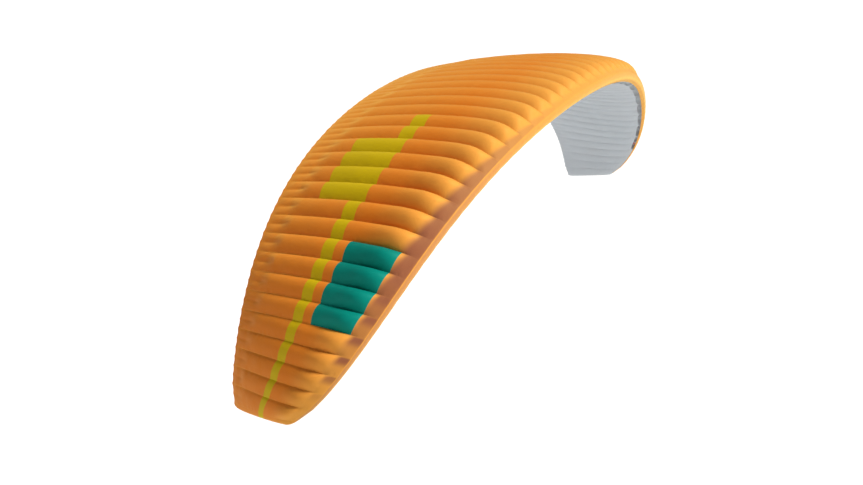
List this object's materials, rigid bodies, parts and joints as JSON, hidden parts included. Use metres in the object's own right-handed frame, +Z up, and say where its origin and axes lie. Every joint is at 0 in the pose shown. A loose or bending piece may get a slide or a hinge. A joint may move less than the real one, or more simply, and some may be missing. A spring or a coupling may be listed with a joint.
{
  "type": "paraglider wing",
  "caption": "Inflated ram-air paraglider wing: an arched row of billowed cloth cells with an orange upper skin, a white lower skin, ribs and air intakes under the nose.",
  "frame": {"origin": "on the lower skin at mid-span, 30 % of the chord behind the nose, where the suspension lines' load is centred", "axes": "+Z up, -Y forward to the leading edge, +X to the wing's left tip"},
  "size_m": [9.6066, 2.454, 2.7873],
  "materials": {
    "upper_cloth": "coated ripstop, satin",
    "lower_cloth": "coated ripstop, satin",
    "rib_cloth": "stiff coated ripstop, matt",
    "lime_cloth": "coated ripstop, satin",
    "teal_cloth": "coated ripstop, satin",
    "tab_webbing": "woven tape, matt"
  },
  "bodies": {
    "root": {"upper_skin_01": "upper_cloth", "upper_skin_02": "upper_cloth", "upper_skin_03": "upper_cloth", "upper_skin_04": "upper_cloth", "upper_skin_05": "upper_cloth", "upper_skin_06": "upper_cloth", "upper_skin_07": "upper_cloth", "upper_skin_08": "upper_cloth", "upper_skin_09": "upper_cloth", "upper_skin_10": "upper_cloth", "upper_skin_11": "upper_cloth", "upper_skin_12": "upper_cloth", "upper_skin_13": "upper_cloth", "lower_skin_01": "lower_cloth", "lower_skin_02": "lower_cloth", "lower_skin_03": "lower_cloth", "lower_skin_04": "lower_cloth", "lower_skin_05": "lower_cloth", "lower_skin_06": "lower_cloth", "lower_skin_07": "lower_cloth", "lower_skin_08": "lower_cloth", "lower_skin_09": "lower_cloth", "lower_skin_10": "lower_cloth", "lower_skin_11": "lower_cloth", "lower_skin_12": "lower_cloth", "lower_skin_13": "lower_cloth", "rib_01": "rib_cloth", "rib_02": "rib_cloth", "rib_03": "rib_cloth", "rib_04": "rib_cloth", "rib_05": "rib_cloth", "rib_06": "rib_cloth", "rib_07": "rib_cloth", "rib_08": "rib_cloth", "rib_09": "rib_cloth", "rib_10": "rib_cloth", "rib_11": "rib_cloth", "rib_12": "rib_cloth", "rib_13": "rib_cloth", "rib_14": "rib_cloth", "rib_15": "rib_cloth", "rib_16": "rib_cloth", "rib_17": "rib_cloth", "rib_18": "rib_cloth", "rib_19": "rib_cloth", "rib_20": "rib_cloth", "rib_21": "rib_cloth", "rib_22": "rib_cloth", "rib_23": "rib_cloth", "rib_24": "rib_cloth", "rib_25": "rib_cloth", "tip_panel_left": "upper_cloth", "tip_panel_right": "upper_cloth", "hem_tab_left": "tab_webbing", "hem_tab_right": "tab_webbing"}
  },
  "joints": []
}
